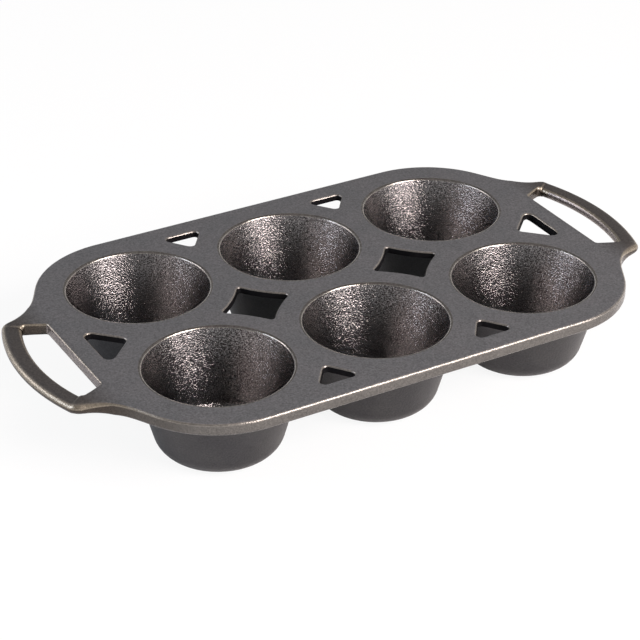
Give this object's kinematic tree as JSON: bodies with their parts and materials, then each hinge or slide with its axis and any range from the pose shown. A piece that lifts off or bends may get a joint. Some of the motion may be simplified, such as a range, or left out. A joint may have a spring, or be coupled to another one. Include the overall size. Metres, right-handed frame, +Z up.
{
  "type": "muffin pan",
  "caption": "Cast iron muffin pan: a flat vented deck carries tapered round cups that hang below it, with a bar handle at each end.",
  "frame": {"origin": "on the floor under the middle of the pan", "axes": "+X runs from handle to handle, +Y from the front row of cups to the back row, +Z up out of the cups"},
  "size_m": [0.3464, 0.195, 0.0455],
  "materials": {
    "deck_iron": "seasoned casting, matt to satin, fine grain",
    "cup_iron": "seasoned casting, coarse pebbled inside, satin outside",
    "handle_iron": "seasoned casting, satin, slightly brown"
  },
  "bodies": {
    "root": {"deck_plate": "deck_iron", "cup_front_left": "cup_iron", "cup_front_middle": "cup_iron", "cup_front_right": "cup_iron", "cup_back_left": "cup_iron", "cup_back_middle": "cup_iron", "cup_back_right": "cup_iron", "handle_left": "handle_iron", "handle_right": "handle_iron"}
  },
  "joints": []
}
